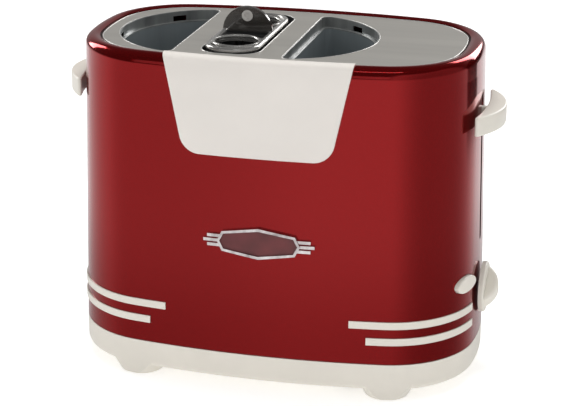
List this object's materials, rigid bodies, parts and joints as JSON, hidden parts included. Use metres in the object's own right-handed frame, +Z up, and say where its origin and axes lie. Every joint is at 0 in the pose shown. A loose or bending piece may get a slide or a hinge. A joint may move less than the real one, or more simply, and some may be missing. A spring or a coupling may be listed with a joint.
{
  "type": "hot dog toaster",
  "caption": "Pop-up toaster for hot dogs: curved red housing, bun wells, lift-out sausage basket, side levers, browning knob, stop button and crumb tray.",
  "frame": {"origin": "on the plane of the feet, below the centre of the housing's oval outline", "axes": "+X along the housing towards the browning knob, +Z up, -Y the front with the plaque and the badge"},
  "size_m": [0.3048, 0.1648, 0.2482],
  "materials": {
    "red_enamel": "smooth glossy red paint on pressed steel",
    "cream_enamel": "smooth cream enamel on sheet metal",
    "bright_steel": "polished bright steel",
    "chrome_trim": "bright plated trim",
    "ivory_plastic": "moulded ivory plastic with a soft sheen",
    "black_plastic": "black heat-resistant plastic",
    "smoked_plastic": "smoked see-through plastic",
    "liner_steel": "plain steel sheet",
    "zinc_steel": "zinc plated steel",
    "mica": "pale brown mica card",
    "heater_ribbon": "dull heating ribbon",
    "spring_steel": "coiled spring wire",
    "coil_copper": "lacquered copper winding on a steel yoke",
    "board": "coated circuit board",
    "foot_rubber": "black rubber"
  },
  "bodies": {
    "housing": {"badge_bezel": "chrome_trim", "badge_enamel": "red_enamel", "base_screws": "zinc_steel", "base_skirt": "ivory_plastic", "browning_control": "zinc_steel", "bun_collar_left": "bright_steel", "bun_collar_right": "bright_steel", "bun_liner_left": "liner_steel", "bun_liner_right": "liner_steel", "control_board": "board", "cord_bush": "black_plastic", "deck": "zinc_steel", "electromagnet": "coil_copper", "end_frame_left": "zinc_steel", "end_frame_right": "zinc_steel", "foot_pads": "foot_rubber", "front_plaque": "cream_enamel", "guard_wires_left": "bright_steel", "guard_wires_right": "bright_steel", "guide_rod_left": "bright_steel", "guide_rod_right": "bright_steel", "heater_card_left": "mica", "heater_card_right": "mica", "heater_ribbons_left": "heater_ribbon", "heater_ribbons_right": "heater_ribbon", "outer_shell": "red_enamel", "return_spring_left": "spring_steel", "return_spring_right": "spring_steel", "sausage_liner": "liner_steel", "stop_switch": "black_plastic", "top_plate": "bright_steel", "trim_strips_left": "ivory_plastic", "trim_strips_right_front": "ivory_plastic", "trim_strips_right_rear": "ivory_plastic"},
    "carriage": {"lift_bar": "zinc_steel", "carriage_plate_left": "zinc_steel", "carriage_plate_right": "zinc_steel", "guide_block_left": "black_plastic", "guide_block_right": "black_plastic", "bun_lifter_left": "liner_steel", "bun_lifter_right": "liner_steel", "lever_left": "ivory_plastic", "lever_right": "ivory_plastic", "latch_armature": "zinc_steel"},
    "browning_knob": {"browning_knob": "ivory_plastic", "knob_shaft": "zinc_steel"},
    "stop_button": {"stop_button": "ivory_plastic"},
    "crumb_tray": {"crumb_tray": "ivory_plastic"},
    "sausage_basket": {"basket_ring": "bright_steel", "basket_cage": "bright_steel", "tab_foot": "black_plastic", "basket_tab": "smoked_plastic", "tab_boss": "black_plastic"}
  },
  "joints": [
    {"name": "lever_slide", "type": "slide", "parent": "housing", "child": "carriage", "axis": [0, 0, -1], "range_m": [0, 0.084], "stiffness_N_per_m": 80, "springref_m": -0.06, "deforming": ["return_spring_left", "return_spring_right"]},
    {"name": "browning_turn", "type": "hinge", "parent": "housing", "child": "browning_knob", "pos_m": [0.1408, 0, 0.0597], "axis": [1, 0, 0], "range_deg": [-135, 135]},
    {"name": "stop_press", "type": "slide", "parent": "housing", "child": "stop_button", "axis": [-0.9354, 0.3535, 0], "range_m": [0, 0.0025], "stiffness_N_per_m": 400, "springref_m": -0.002},
    {"name": "crumb_tray_slide", "type": "slide", "parent": "housing", "child": "crumb_tray", "axis": [0, 1, 0], "range_m": [0, 0.12]},
    {"name": "basket_lift", "type": "slide", "parent": "housing", "child": "sausage_basket", "axis": [0, 0, 1], "range_m": [0, 0.2]}
  ]
}
